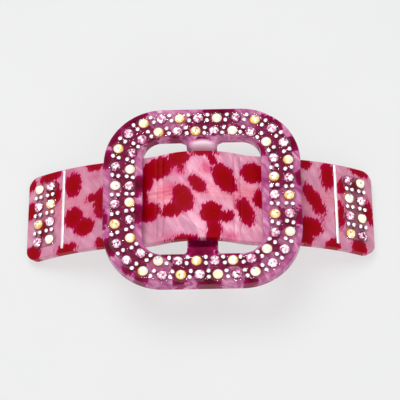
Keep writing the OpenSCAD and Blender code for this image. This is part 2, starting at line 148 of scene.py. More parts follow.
class Tree:
    """A material whose nodes are added one call at a time."""

    def __init__(self, name):
        self.material = bpy.data.materials.new(name)
        self.material.use_nodes = True
        self.tree = self.material.node_tree
        self.tree.nodes.clear()
        self.out = self.tree.nodes.new("ShaderNodeOutputMaterial")

    def put(self, socket, value):
        if isinstance(value, bpy.types.NodeSocket):
            self.tree.links.new(value, socket)
        else:
            socket.default_value = value

    def add(self, kind, inputs=None, **props):
        n = self.tree.nodes.new("ShaderNode" + kind)
        for k, v in props.items():
            setattr(n, k, v)
        for k, v in (inputs or {}).items():
            self.put(n.inputs[k], v)
        return n

    def math(self, operation, a, b=0.0, clamp=False):
        return self.add("Math", {0: a, 1: b}, operation=operation, use_clamp=clamp).outputs[0]

    def attribute(self, name):
        return self.add("Attribute", attribute_name=name).outputs["Fac"]

    def place(self, scale=(1, 1, 1), turn=(0, 0, 0)):
        """The point's place in millimetres, turned and then scaled."""
        where = self.add("TexCoord").outputs["Object"]
        turned = self.add("Mapping", {"Vector": where, "Rotation": turn}, vector_type="POINT")
        sizes = tuple(s / MM for s in scale)
        return self.add("Mapping", {"Vector": turned.outputs[0], "Scale": sizes}).outputs[0]

    def noise(self, where, scale=1.0, detail=2.0, rough=0.5, warp=0.0):
        n = self.add("TexNoise", {"Vector": where, "Scale": scale, "Detail": detail, "Roughness": rough})
        n.inputs["Distortion"].default_value = warp
        return n.outputs["Fac"]

    def ramp(self, factor, stops, kind="LINEAR"):
        n = self.add("ValToRGB", {"Fac": factor})
        r = n.color_ramp
        r.interpolation = kind
        while len(r.elements) < len(stops):
            r.elements.new(0.5)
        for e, (at, colour) in zip(r.elements, stops):
            e.position = at
            e.color = colour
        return n.outputs["Color"]

    def grey(self, factor, low, high, low_out=0.0, high_out=1.0, kind="LINEAR"):
        n = self.add("MapRange", {0: factor, 1: low, 2: high, 3: low_out, 4: high_out})
        n.interpolation_type = kind
        return n.outputs[0]

    def mix(self, factor, a, b, kind="MIX"):
        n = self.add("Mix", data_type="RGBA", blend_type=kind)
        self.put(n.inputs[0], factor)
        self.put(n.inputs[6], a)
        self.put(n.inputs[7], b)
        return n.outputs[2]

    def bump(self, height, distance, strength=1.0):
        n = self.add("Bump", {"Height": height, "Distance": distance * MM, "Strength": strength})
        return n.outputs[0]

    def surface(self, inputs):
        p = self.add("BsdfPrincipled", inputs)
        self.put(self.out.inputs["Surface"], p.outputs[0])
        return self.material


def piece(name, verts, faces, material, stands_for, smooth_shading=True, attributes=None):
    """One object from points in millimetres. attributes is {name: (domain, values)}."""
    mesh = bpy.data.meshes.new(name)
    mesh.from_pydata((np.asarray(verts, float) * MM).tolist(), [], faces)
    mesh.update()
    mesh.materials.append(material)
    mesh.polygons.foreach_set("use_smooth", [smooth_shading] * len(mesh.polygons))
    for key, (domain, values) in (attributes or {}).items():
        a = mesh.attributes.new(key, "FLOAT", domain)
        a.data.foreach_set("value", np.asarray(values, np.float32))
    obj = bpy.data.objects.new(name, mesh)
    bpy.context.scene.collection.objects.link(obj)
    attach(obj, "clip_body")
    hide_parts(*stands_for)
    return obj


def grid_faces(rings, ring, closed_rings=False):
    """Quads between successive rings of points, outward for rings that advance along their axis."""
    faces = []
    for i in range(rings if closed_rings else rings - 1):
        a = i * ring
        b = (i + 1) % rings * ring
        for j in range(ring):
            k = (j + 1) % ring
            faces.append((a + j, b + j, b + k, a + k))
    return faces


def end_faces(rings, ring):
    """The two faces that close the ends of an open run of rings."""
    last = (rings - 1) * ring
    return [tuple(range(ring)), tuple(last + j for j in range(ring - 1, -1, -1))]


def ellipse_field(x, y, ellipses):
    """How deep each point is inside the nearest ellipse, in millimetres. Below 0 is outside.
    An ellipse is (x, y, half length, half width, turn in degrees)."""
    best = np.full(x.shape, -9.0)
    for cx, cy, a, b, turn in ellipses:
        t = math.radians(turn)
        u = (x - cx) * math.cos(t) + (y - cy) * math.sin(t)
        v = (y - cy) * math.cos(t) - (x - cx) * math.sin(t)
        best = np.maximum(best, (1 - np.hypot(u / a, v / b)) * min(a, b))
    return best


# ---- materials ----

# Leopard spots on the strap. Most centres were read off the photograph and converted to
# millimetres, and then moved one by one. Sizes and turns were set one by one.
SPOTS = [
    # inside the buckle
    (-11.2, 9.0, 4.4, 3.4, 0),
    (-14.6, 5.6, 2.4, 3.0, 0),
    (-15.8, 0.6, 2.2, 5.0, 0),
    (-13.9, -3.7, 3.9, 2.8, 0),
    (-5.4, 11.2, 3.1, 2.6, 0),
    (-5.0, 8.6, 1.0, 2.2, 20),
    (1.2, 12.6, 4.2, 1.3, 0),
    (3.9, 10.4, 1.2, 2.6, 25),
    (-0.4, 3.0, 3.5, 1.8, -52),
    (7.1, 4.9, 4.9, 3.0, -62),
    (14.9, 7.6, 3.4, 3.2, 0),
    (16.6, -0.2, 2.0, 2.9, 0),
    (12.6, -4.3, 4.4, 2.3, -72),
    (3.6, -5.7, 3.2, 3.4, 0),
    (4.1, -11.5, 2.1, 4.6, 0),
    (7.4, -6.6, 2.4, 1.6, 30),
    (-4.3, -13.4, 4.2, 1.4, 0),
    (-4.2, -0.9, 4.6, 2.7, -65),
    (-6.9, -4.2, 3.9, 2.2, 0),
    # left wing
    (-47.1, 10.2, 1.5, 2.0, 0),
    (-41.6, 11.4, 3.6, 1.8, 12),
    (-40.4, 6.0, 2.2, 4.0, 8),
    (-47.0, 2.1, 1.9, 2.8, 0),
    (-42.7, -4.9, 1.4, 3.0, -10),
    (-46.0, -10.9, 2.5, 2.5, 0),
    (-36.3, -11.9, 3.2, 1.8, 10),
    (-34.8, 7.1, 2.5, 3.9, 0),
    (-34.4, -2.9, 2.7, 3.2, 0),
    (-31.3, -6.2, 3.0, 2.8, 0),
    (-26.4, 0.2, 2.6, 4.6, 0),
    (-28.8, 2.2, 2.2, 1.5, 20),
    (-28.6, 11.7, 2.7, 1.4, 0),
    (-26.4, -11.7, 1.9, 2.0, 30),
    # right wing
    (29.5, 11.5, 1.9, 1.8, 0),
    (35.4, 8.4, 2.1, 4.3, 0),
    (31.5, 0.6, 5.5, 2.1, -60),
    (29.9, -7.7, 3.9, 3.0, 0),
    (29.1, -10.9, 2.1, 2.4, 0),
    (36.2, -12.4, 2.1, 2.2, -30),
    (44.2, 11.8, 2.8, 1.6, -15),
    (39.2, 6.0, 1.3, 2.8, 0),
    (38.7, -2.6, 1.3, 4.6, 0),
    (43.1, 6.9, 1.4, 2.0, 0),
    (46.6, -0.3, 1.6, 3.8, 8),
    (43.6, -11.4, 2.3, 2.3, 0),
    # under the buckle's bars
    (-21.3, 8.4, 2.4, 2.6, 0),
    (-20.6, -8.0, 2.6, 2.0, 0),
    (22.0, 6.2, 2.4, 3.0, 0),
    (21.3, -4.0, 2.2, 2.6, 0),
    (23.4, -10.8, 2.2, 1.6, 0),
]

# Soft rose clouds, where a spot's colour has bled into the pale ground
ROSE = [
    (2.4, 7.6, 3.2, 2.4, -40),
    (-5.6, 7.4, 3.0, 2.0, 0),
    (8.6, -12.0, 2.8, 1.8, 0),
    (-36.0, 10.8, 3.0, 2.2, 0),
    (-38.8, -0.5, 1.6, 5.0, 0),
    (-29.5, -2.4, 3.4, 2.2, -30),
    (29.2, 3.6, 1.8, 3.4, 30),
    (29.0, -3.6, 3.0, 2.0, -40),
    (26.8, 9.4, 2.0, 3.0, 0),
    (-8.2, 1.6, 3.4, 2.8, 0),
    (-28.6, 8.8, 2.4, 1.8, 0),
    (-8.2, -12.0, 3.8, 1.6, 0),
]


def acetate_leopard():
    t = Tree("acetate_leopard")
    depth = t.attribute("spot")
    # hairs run across the strap and lean a little
    hairs = t.noise(t.place((2.7, 0.55, 0.4), (0, 0, math.radians(14))), 1.0, 2.0, 0.55)
    clumps = t.noise(t.place((0.8, 0.5, 0.4)), 1.0, 2.0, 0.5)
    fur = t.math("MULTIPLY", t.math("SUBTRACT", hairs, 0.5), 2.3)
    lobes = t.math("MULTIPLY", t.math("SUBTRACT", clumps, 0.5), 1.4)
    edge = t.math("ADD", t.math("ADD", depth, fur), lobes)
    inside = t.grey(edge, -0.05, 0.10, kind="SMOOTHSTEP")
    fill = t.ramp(
        t.grey(t.math("ADD", depth, t.math("MULTIPLY", fur, 0.6)), -0.3, 1.9),
        [
            (0.0, rgb(192, 0, 92)),
            (0.25, rgb(172, 0, 58)),
            (0.55, rgb(160, 0, 26)),
            (1.0, rgb(156, 0, 8)),
        ],
    )
    # the pale ground is pearly, streaked from top left to bottom right
    streak_place = t.place((0.42, 0.10, 0.3), (0, 0, math.radians(-35)))
    streaks = t.noise(streak_place, 1.0, 4.0, 0.6, 0.5)
    ground = t.ramp(
        t.grey(streaks, 0.30, 0.70),
        [
            (0.0, rgb(206, 140, 168)),
            (0.4, rgb(232, 162, 188)),
            (0.7, rgb(254, 184, 208)),
            (1.0, rgb(255, 216, 230)),
        ],
    )
    rose_noise = t.noise(t.place((0.9, 0.4, 0.4), (0, 0, math.radians(10))), 1.0, 3.0, 0.6)
    rose = t.math("ADD", t.attribute("rose"), t.math("MULTIPLY", t.math("SUBTRACT", rose_noise, 0.5), 2.4))
    ground = t.mix(t.grey(rose, -0.4, 1.6, 0.0, 0.8), ground, rgb(222, 62, 122))
    # a painted sheen: a salmon band of painted highlight along the crown, with fine painted streaks that run
    # the length of the strap
    lines = t.noise(t.place((0.05, 1.9, 0.3)), 1.0, 3.0, 0.6)
    painted_sheen_colour = t.ramp(t.grey(lines, 0.35, 0.65), [(0.0, rgb(232, 104, 126)), (1.0, rgb(254, 158, 168))])
    ground = t.mix(t.attribute("painted_sheen"), ground, painted_sheen_colour)
    dim = t.math("MULTIPLY", t.attribute("shade"), 0.55)
    ground = t.mix(dim, ground, rgb(196, 128, 154))
    halo = t.grey(edge, -1.0, -0.05, 0.0, 0.35, kind="SMOOTHSTEP")
    ground = t.mix(halo, ground, rgb(214, 70, 128))
    colour = t.mix(inside, ground, fill)
    wear = t.noise(t.place((0.6, 0.6, 0.6)), 1.0, 3.0, 0.6)
    wave = t.noise(t.place((0.22, 0.3, 0.3)), 1.0, 1.0, 0.4)
    return t.surface(
        {
            "Base Color": colour,
            "Roughness": t.grey(wear, 0.3, 0.7, 0.16, 0.30),
            "IOR": 1.49,
            "Specular IOR Level": 0.10,
            "Subsurface Weight": 0.06,
            "Subsurface Radius": (1.0, 0.35, 0.35),
            "Subsurface Scale": 0.0012,
            "Coat Weight": 0.05,
            "Coat Roughness": 0.06,
            "Normal": t.bump(wave, 0.25, 0.5),
        }
    )


def acetate_marble():
    t = Tree("acetate_marble")
    where = t.place((0.45, 0.45, 0.45), (0.3, 0.2, math.radians(-24)))
    veins = t.noise(where, 1.0, 3.0, 0.55, 0.9)
    shift = t.math("MULTIPLY", t.math("SUBTRACT", veins, 0.5), 3.0)
    # The "dark" attribute holds the dark marbling and the painted shade on the ring's top under the stones
    depth = t.math("ADD", t.attribute("dark"), shift)
    dark = t.grey(depth, -0.10, 0.22, kind="SMOOTHSTEP")
    streaks = t.noise(t.place((0.42, 0.16, 0.3), (0, 0, math.radians(-38))), 1.0, 4.0, 0.6, 0.8)
    light = t.ramp(
        t.grey(streaks, 0.30, 0.70),
        [
            (0.0, rgb(160, 56, 118)),
            (0.4, rgb(190, 98, 150)),
            (0.75, rgb(216, 144, 180)),
            (1.0, rgb(244, 192, 216)),
        ],
    )
    deep = t.ramp(
        t.grey(depth, -0.2, 2.2),
        [(0.0, rgb(176, 20, 110)), (0.35, rgb(138, 2, 66)), (1.0, rgb(94, 0, 20))],
    )
    colour = t.mix(dark, light, deep)
    # The "bright" attribute is a painted highlight on the crossbar's far ramp
    colour = t.mix(t.grey(t.attribute("bright"), -0.3, 0.6), colour, rgb(252, 216, 236))
    wear = t.noise(t.place((0.7, 0.7, 0.7)), 1.0, 3.0, 0.6)
    wave = t.noise(t.place((0.2, 0.2, 0.2)), 1.0, 1.0, 0.4)
    return t.surface(
        {
            "Base Color": colour,
            "Roughness": t.grey(wear, 0.3, 0.7, 0.10, 0.22),
            "IOR": 1.49,
            "Specular IOR Level": 0.10,
            "Subsurface Weight": 0.10,
            "Subsurface Radius": (1.0, 0.4, 0.7),
            "Subsurface Scale": 0.0015,
            "Coat Weight": 0.10,
            "Coat Roughness": 0.05,
            "Normal": t.bump(wave, 0.2, 0.4),
        }
    )


def gem(name, stops):
    t = Tree(name)
    glint = t.attribute("glint")
    flaw = t.noise(t.place((3.0, 3.0, 3.0)), 1.0, 2.0, 0.6)
    tone = t.math("ADD", glint, t.math("MULTIPLY", t.math("SUBTRACT", flaw, 0.5), 0.16), clamp=True)
    colour = t.ramp(tone, stops)
    return t.surface(
        {
            "Base Color": colour,
            "Roughness": t.grey(flaw, 0.3, 0.7, 0.02, 0.07),
            "IOR": 1.6,
            "Coat Weight": 0.5,
            "Coat Roughness": 0.02,
            # The emission is painted light: the facets glow a little in their own colours, brighter than the
            # lamps make them
            "Emission Color": colour,
            "Emission Strength": 0.22,
        }
    )


PINK_STOPS = [
    (0.00, rgb(104, 14, 56)),
    (0.16, rgb(160, 52, 102)),
    (0.34, rgb(216, 126, 170)),
    (0.56, rgb(240, 184, 212)),
    (0.78, rgb(253, 234, 245)),
    (1.00, rgb(255, 255, 255)),
]

AURORA_STOPS = [
    (0.00, rgb(150, 64, 80)),
    (0.08, rgb(236, 142, 66)),
    (0.18, rgb(252, 206, 92)),
    (0.34, rgb(254, 240, 170)),
    (0.52, rgb(255, 253, 238)),
    (0.84, rgb(255, 255, 252)),
    (0.93, rgb(206, 222, 244)),
    (1.00, rgb(140, 140, 214)),
]


def silver():
    t = Tree("silver_lined_glass")
    tarnish = t.noise(t.place((1.6, 1.6, 1.6)), 1.0, 2.0, 0.6)
    lining = t.ramp(t.grey(tarnish, 0.3, 0.7), [(0.0, rgb(246, 222, 234)), (1.0, rgb(255, 252, 254))])
    # Painted shade: the bead's lower part, given by the "foot" attribute, is dark wine where it sits down in
    # the glue
    colour = t.mix(t.attribute("foot"), lining, rgb(96, 10, 52))
    return t.surface(
        {
            "Base Color": colour,
            # The emission is painted light: the bead glows a little in its own colour
            "Emission Color": colour,
            "Emission Strength": 0.2,
            "Metallic": 0.15,
            "Roughness": t.grey(tarnish, 0.3, 0.7, 0.10, 0.22),
            "Coat Weight": 0.6,
            "Coat Roughness": 0.04,
        }
    )


def clear_resin(name, body, rim_highlight, ripple):
    """Cured clear glue: mirror-bright where it turns away from the eye, and clear elsewhere.
    body is how milky it is all over, the next number how much white the rim adds as a painted highlight
    where its edge would catch the light, ripple how wavy its skin is."""
    t = Tree(name)
    milk = t.noise(t.place((0.8, 0.8, 0.8)), 1.0, 2.0, 0.5)
    wave = t.noise(t.place((1.0, 1.0, 1.0)), 1.0, 2.0, 0.5)
    normal = t.bump(wave, 0.3, ripple)
    gloss = t.add(
        "BsdfPrincipled",
        {
            "Base Color": t.ramp(milk, [(0.0, rgb(250, 236, 244)), (1.0, rgb(255, 252, 254))]),
            "Metallic": 1.0,
            "Roughness": t.grey(milk, 0.3, 0.7, 0.04, 0.12),
            "Normal": normal,
        },
    )
    clear = t.add("BsdfTransparent", {"Color": (0.99, 0.97, 0.98, 1.0)})
    milky_white_and_highlight = t.add("BsdfDiffuse", {"Color": rgb(250, 240, 246)})
    share = t.add("Fresnel", {"IOR": 1.5, "Normal": normal}).outputs[0]
    both = t.add("MixShader", {0: share, 1: clear.outputs[0], 2: gloss.outputs[0]})
    # Painted highlight: white mixed in along the rim, where the glaze's edge would catch the light; body is
    # milkiness all over
    milk_and_rim_highlight = t.math("ADD", t.math("MULTIPLY", t.attribute("rim"), rim_highlight), body)
    out = t.add("MixShader", {0: milk_and_rim_highlight, 1: both.outputs[0], 2: milky_white_and_highlight.outputs[0]})
    t.put(t.out.inputs["Surface"], out.outputs[0])
    return t.material


def white_inlay():
    t = Tree("white_inlay")
    grain = t.noise(t.place((3.0, 0.4, 1.0)), 1.0, 3.0, 0.6)
    return t.surface(
        {
            "Base Color": t.ramp(
                t.grey(grain, 0.3, 0.7), [(0.0, rgb(246, 242, 246)), (1.0, rgb(255, 255, 255))]
            ),
            "Roughness": t.grey(grain, 0.3, 0.7, 0.18, 0.34),
            "Coat Weight": 0.4,
            "Coat Roughness": 0.1,
            "Normal": t.bump(grain, 0.03, 0.4),
        }
    )


def nickel(name, tint, along):
    """Nickel plate over rolled steel: fine rolling lines, cloudy roughness and small scratches."""
    t = Tree(name)
    lines = t.noise(t.place((0.15, 6.0, 6.0) if along == "x" else (6.0, 0.15, 6.0)), 1.0, 3.0, 0.6)
    cloud = t.noise(t.place((0.25, 0.25, 0.25)), 1.0, 3.0, 0.6)
    scratch = t.noise(t.place((0.5, 7.0, 3.0), (0, 0, 0.7)), 1.0, 2.0, 0.4)
    marks = t.grey(scratch, 0.64, 0.70, 0.0, 1.0)
    dull = t.math("ADD", t.grey(cloud, 0.3, 0.7, 0.16, 0.34), t.math("MULTIPLY", marks, 0.15))
    tone = t.ramp(t.grey(lines, 0.3, 0.7), [(0.0, tint), (1.0, rgb(226, 222, 216))])
    height = t.math("ADD", t.math("MULTIPLY", lines, 0.5), t.math("MULTIPLY", marks, -0.6))
    return t.surface(
        {
            "Base Color": tone,
            "Metallic": 1.0,
            "Roughness": dull,
            "Normal": t.bump(height, 0.02, 0.5),
        }
    )


# ---- strap ----


def wing_station(a):
    return (WING_CX + WING_R * math.sin(a), WING_CZ + WING_R * math.cos(a), a, 0.0)


def inlay_slope(x):
    """Slope of the wing where its top face is at this x."""
    return math.asin((x - WING_CX) / WING_TOP_R)


def half_stations():
    """[x, z, slope, inset] on the underside, from the middle to the tip."""
    crown = []
    for a in np.linspace(0, CROWN_SLOPE, 33)[:-1]:
        crown.append((CROWN_R * math.sin(a), CROWN_CZ + CROWN_R * math.cos(a), a, 0.0))
    dip = []
    for a in np.linspace(CROWN_SLOPE, DIP_SLOPE, 29)[:-1]:
        dip.append((DIP_CX - DIP_R * math.sin(a), DIP_CZ - DIP_R * math.cos(a), a, 0.0))
    tip_start = TIP_SLOPE - TIP_EDGE_R / WING_TOP_R
    slopes = list(np.linspace(DIP_SLOPE, TIP_SLOPE - CORNER_TURN, 76)[:-1])
    slopes += [TIP_SLOPE - CORNER_TURN * (1 - math.sin(q)) for q in np.linspace(0, 1.25, 16)]
    slopes = [a for a in slopes if a < tip_start - 0.001]
    groove = [inlay_slope(INLAY_X + s * (INLAY_W / 2 + g)) for s in (-1, 1) for g in (0, GROOVE_LIP)]
    slopes = sorted([a for a in slopes if min(abs(a - g) for g in groove) > 0.0012] + groove)
    wing = [wing_station(a) for a in slopes]
    for q in np.linspace(0, math.pi / 2, 7):
        a = TIP_SLOPE - TIP_EDGE_R * (1 - math.sin(q)) / WING_TOP_R
        x, z, _, _ = wing_station(a)
        wing.append((x, z, a, TIP_EDGE_R * (1 - math.cos(q))))
    return crown + dip + wing


def half_width(x, slope):
    narrowing = float(smooth((abs(x) - NARROW_X0) / (NARROW_X1 - NARROW_X0)))
    side = STRAP_W / 2 + (WING_W - STRAP_W) / 2 * narrowing
    into_corner = max(0.0, 1 - (TIP_SLOPE - abs(slope)) / CORNER_TURN)
    return side - CORNER_R * (1 - math.sqrt(max(0.0, 1 - into_corner**2)))


def build_strap():
    half = half_stations()
    stations = [(-x, z, -a, inset) for x, z, a, inset in half[:0:-1]] + half
    flat = np.linspace(1, -1, 63)
    edge_line = GROOVE_NEAR_Y / (WING_W / 2 - EDGE_R)
    flat = np.array(sorted(list(flat) + [edge_line, edge_line - 0.002], reverse=True))
    turns = np.linspace(0, math.pi / 2, 7)
    groove_slope = [inlay_slope(INLAY_X + s * INLAY_W / 2) for s in (-1, 1)]
    verts = []
    plan = []
    for x, z, slope, inset in stations:
        w = half_width(x, slope) - EDGE_R
        r = EDGE_R - inset
        section = [(w + r * math.cos(q), STRAP_T - EDGE_R + r * math.sin(q)) for q in turns[:-1]]
        in_groove = groove_slope[0] - 1e-6 <= abs(slope) <= groove_slope[1] + 1e-6
        for f in flat:
            y = f * w
            sunk = INLAY_DEPTH if in_groove and f >= edge_line - 1e-6 and f < 0.99 else 0.0
            section.append((y, STRAP_T - inset - sunk))
        section += [(-w - r * math.sin(q), STRAP_T - EDGE_R + r * math.cos(q)) for q in turns[1:]]
        section += [(-w - r * math.cos(q), EDGE_R - r * math.sin(q)) for q in turns[:-1]]
        section += [(-f * w, inset) for f in flat]
        section += [(w + r * math.sin(q), EDGE_R - r * math.cos(q)) for q in turns[1:]]
        plan_x = x + STRAP_T * math.sin(slope)
        for y, h in section:
            verts.append((x + h * math.sin(slope), y, z + h * math.cos(slope)))
            plan.append((plan_x, y))
    ring = len(verts) // len(stations)
    # the section runs the other way round from grid_faces' rings
    faces = [f[::-1] for f in grid_faces(len(stations), ring)] + end_faces(len(stations), ring)
    plan = np.array(plan)
    x, y = plan[:, 0], plan[:, 1]
    # Painted highlight: a salmon sheen band just past the strap's middle line, weaker at the centre of the
    # crown
    painted_sheen = 0.75 * np.exp(-(((y - 1.0) / 3.4) ** 2)) * (0.55 + 0.45 * smooth((np.abs(x) - 4) / 10))
    shade = np.maximum(smooth((np.abs(x - 1) - 9) / 14), smooth((-4 - x) / 6) * smooth((-3 - y) / 5))
    attributes = {
        "shade": ("POINT", shade),
        "spot": ("POINT", ellipse_field(x, y, SPOTS)),
        "rose": ("POINT", ellipse_field(x, y, ROSE)),
        "painted_sheen": ("POINT", painted_sheen),
    }
    return piece("strap_shell", verts, faces, acetate_leopard(), ["strap"], True, attributes)


def build_inlay(side, name, node):
    """A white line let into the wing, its top a little proud and crowned."""
    a0 = inlay_slope(INLAY_X)
    half = INLAY_W / 2 - 0.012
    near, far = GROOVE_NEAR_Y + 0.02, WING_W / 2 - EDGE_R + 0.18
    ys = list(np.linspace(near + 0.3, far - 0.35, 60))
    verts = []
    ends = np.linspace(0.15, 1, 5)[:-1]
    rows = [(near + 0.3 * q, math.sqrt(1 - (1 - q) ** 2)) for q in ends]
    rows += [(y, 1.0) for y in ys]
    rows += [(far - 0.35 * q, math.sqrt(1 - (1 - q) ** 2)) for q in ends[::-1]]
    crown = np.linspace(-1, 1, 9)
    for y, k in rows:
        drop = 0.0
        if y > WING_W / 2 - EDGE_R:
            drop = EDGE_R - math.sqrt(max(0.0, EDGE_R**2 - (y - WING_W / 2 + EDGE_R) ** 2))
        section = [(half * k * u, STRAP_T + 0.05 * (1 - u * u) + 0.005 - drop) for u in crown]
        section += [(half * k, STRAP_T - INLAY_DEPTH + 0.004), (-half * k, STRAP_T - INLAY_DEPTH + 0.004)]
        for u, h in section:
            a = a0 + u / WING_TOP_R
            r = WING_R + h
            verts.append((side * (WING_CX + r * math.sin(a)), y, WING_CZ + r * math.cos(a)))
    ring = len(crown) + 2
    faces = grid_faces(len(rows), ring) + end_faces(len(rows), ring)
    obj = piece(name, verts, faces, WHITE_INLAY, [node])
    fix_normals(obj)
    return obj


def fix_normals(obj):
    """Turns every face of a closed mesh outwards."""
    b = bmesh.new()
    b.from_mesh(obj.data)
    bmesh.ops.recalc_face_normals(b, faces=b.faces)
    b.to_mesh(obj.data)
    b.free()


# ---- buckle ----

# Dark blocks of the marbled acetate: centres found as for SPOTS, sizes and turns set one by one
DARK = [
    (-5.1, -25.4, 2.0, 1.6, 0),
    (2.8, -25.4, 3.8, 2.6, 0),
    (13.6, -25.4, 2.0, 2.4, 0),
    (-15.5, -24.4, 2.2, 1.8, 0),
    (-18.6, -21.6, 2.0, 2.0, 0),
    (5.6, 25.0, 5.0, 2.2, 0),
    (-17.6, 22.0, 4.6, 2.2, 40),
    (-22.6, 17.4, 3.6, 2.0, 60),
    (-25.0, 10.6, 2.0, 3.6, 0),
    (-25.6, -7.0, 1.2, 3.0, 0),
    (20.1, 21.0, 3.4, 2.0, -40),
    (25.9, 14.6, 2.0, 2.6, 0),
    (27.2, 4.1, 1.6, 2.4, 0),
    (27.0, -7.8, 1.4, 3.0, 0),
    (-23.6, -15.4, 2.6, 3.0, 30),
    (-6.4, 17.3, 1.6, 1.0, 0),
    (-12.4, 15.6, 2.4, 1.6, 40),
    (17.0, 12.6, 1.6, 2.6, 20),
    (1.4, 16.4, 2.6, 1.0, 0),
    (-16.4, 2.8, 2.4, 3.4, 0),
    (-16.4, -5.8, 2.4, 3.2, 0),
    (1.0, -14.6, 5.0, 2.6, 0),
    (0.8, -17.2, 4.8, 2.0, 0),
    (-7.0, -18.2, 3.6, 0.8, 0),
    (8.0, -18.2, 3.2, 0.8, 0),
]

# Pale clouds of the marbled acetate under the stones
PALE = [
    (-8.5, 23.0, 5.4, 3.4, 0),
    (13.4, 22.6, 3.0, 3.0, 0),
    (-24.6, 1.6, 3.6, 3.4, 0),
    (24.2, -2.0, 3.6, 2.8, 0),
    (25.0, -14.6, 3.6, 3.4, 0),
    (-10.4, -22.6, 3.4, 3.6, 0),
    (9.2, -24.4, 2.6, 2.6, 0),
    (19.6, -21.0, 3.2, 3.2, -40),
    (18.0, 3.0, 1.4, 9.0, 0),
    (19.0, -8.0, 2.4, 5.0, 0),
]


def rounded_rect(half_x, half_y, r, steps_flat, steps_arc):
    """Points and outward directions along a rectangle with round corners, anticlockwise."""
    sides = [(half_x, half_y), (half_y, half_x)] * 2
    out = []
    for quarter, (reach, across) in enumerate(sides):
        turn = Matrix.Rotation(quarter * math.pi / 2, 2)
        c = across - r
        for i in range(steps_flat):
            out.append((turn @ Vector((reach, -c + 2 * c * i / steps_flat)), turn @ Vector((1, 0))))
        for i in range(steps_arc):
            a = math.pi / 2 * i / steps_arc
            n = Vector((math.cos(a), math.sin(a)))
            out.append((turn @ (Vector((reach - r, c)) + n * r), turn @ n))
    return out


def ring_section(outer, inner):
    """One closed loop round the ring's bar, from a point and direction on each outline."""
    (p, n), (q, m) = outer, inner
    turns = np.linspace(0, math.pi / 2, 7)
    a, b = RIM_R, WINDOW_RIM_R
    loop = [(p - n * (a - a * math.sin(t)), a - a * math.cos(t)) for t in turns]
    loop += [(p, z) for z in np.linspace(a, BUCKLE_T - a, 8)[1:-1]]
    loop += [(p - n * (a - a * math.cos(t)), BUCKLE_T - a + a * math.sin(t)) for t in turns]
    top_a, top_b = p - n * a, q + m * b
    loop += [(top_a.lerp(top_b, f), BUCKLE_T) for f in np.linspace(0, 1, 26)[1:-1]]
    loop += [(q + m * (b - b * math.sin(t)), BUCKLE_T - b + b * math.cos(t)) for t in turns]
    loop += [(q, z) for z in np.linspace(BUCKLE_T - b, b, 8)[1:-1]]
    loop += [(q + m * (b - b * math.cos(t)), b - b * math.sin(t)) for t in turns]
    loop += [(top_b.lerp(top_a, f), 0.0) for f in np.linspace(0, 1, 14)[1:-1]]
    return [(v.x + BUCKLE_X, v.y + BUCKLE_Y, z + BUCKLE_Z) for v, z in loop]


def outline_inset(x, y):
    """How far each point lies inside the buckle's outline."""
    u = np.abs(x - BUCKLE_X) - (BUCKLE_HALF_X - BUCKLE_R)
    v = np.abs(y - BUCKLE_Y) - (BUCKLE_HALF_Y - BUCKLE_R)
    outside = np.hypot(np.maximum(u, 0), np.maximum(v, 0)) + np.minimum(np.maximum(u, v), 0)
    return BUCKLE_R - outside


def solid(name, verts, faces):
    """A closed mesh object in the scene, from points in millimetres."""
    mesh = bpy.data.meshes.new(name)
    mesh.from_pydata((np.array(verts) * MM).tolist(), [], faces)
    obj = bpy.data.objects.new(name, mesh)
    bpy.context.scene.collection.objects.link(obj)
    fix_normals(obj)
    return obj


def build_buckle():
    outer = rounded_rect(BUCKLE_HALF_X, BUCKLE_HALF_Y, BUCKLE_R, 44, 40)
    inner = rounded_rect(WINDOW_HALF_X, WINDOW_HALF_Y, WINDOW_R, 44, 40)
    sections = [ring_section(a, b) for a, b in zip(outer, inner)]
    verts = [v for section in sections for v in section]
    faces = grid_faces(len(sections), len(sections[0]), closed_rings=True)
    ring_obj = solid("ring", verts, faces)
    bar_obj = crossbar_object()
    union = ring_obj.modifiers.new("union", "BOOLEAN")
    union.operation = "UNION"
    union.solver = "EXACT"
    union.object = bar_obj
    bpy.context.view_layer.update()
    evaluated = ring_obj.evaluated_get(bpy.context.evaluated_depsgraph_get())
    merged = bpy.data.meshes.new_from_object(evaluated)
    co = np.array([v.co for v in merged.vertices]) / MM
    polys = [tuple(p.vertices) for p in merged.polygons]
    bpy.data.objects.remove(ring_obj)
    bpy.data.objects.remove(bar_obj)
    x, y, z = co[:, 0], co[:, 1], co[:, 2]
    inset = outline_inset(x, y)
    on_top = smooth((z - BUCKLE_TOP + 0.5) / 0.4)
    # Painted shade: the ring's top under the stones and beads is darkened, less so over the pale clouds, and
    # joins the dark marbling in the "dark" attribute
    under_stones = smooth((inset - 1.0) / 1.4) * smooth((9.2 - inset) / 1.2) * on_top
    dark = ellipse_field(x, y, DARK)
    pale = ellipse_field(x, y, PALE)
    shade_under_stones = -1.6 + 2.1 * under_stones - 1.3 * smooth((pale + 0.8) / 1.6)
    # Painted highlight on the crossbar's far ramp, where it climbs to the ring's far bar
    bright = ellipse_field(x, y, [(1.2, 14.6, 3.6, 1.9, 0)])
    attributes = {"dark": ("POINT", np.maximum(dark, shade_under_stones)), "bright": ("POINT", bright)}
    return piece("buckle_ring", co, polys, acetate_marble(), ["buckle"], True, attributes)


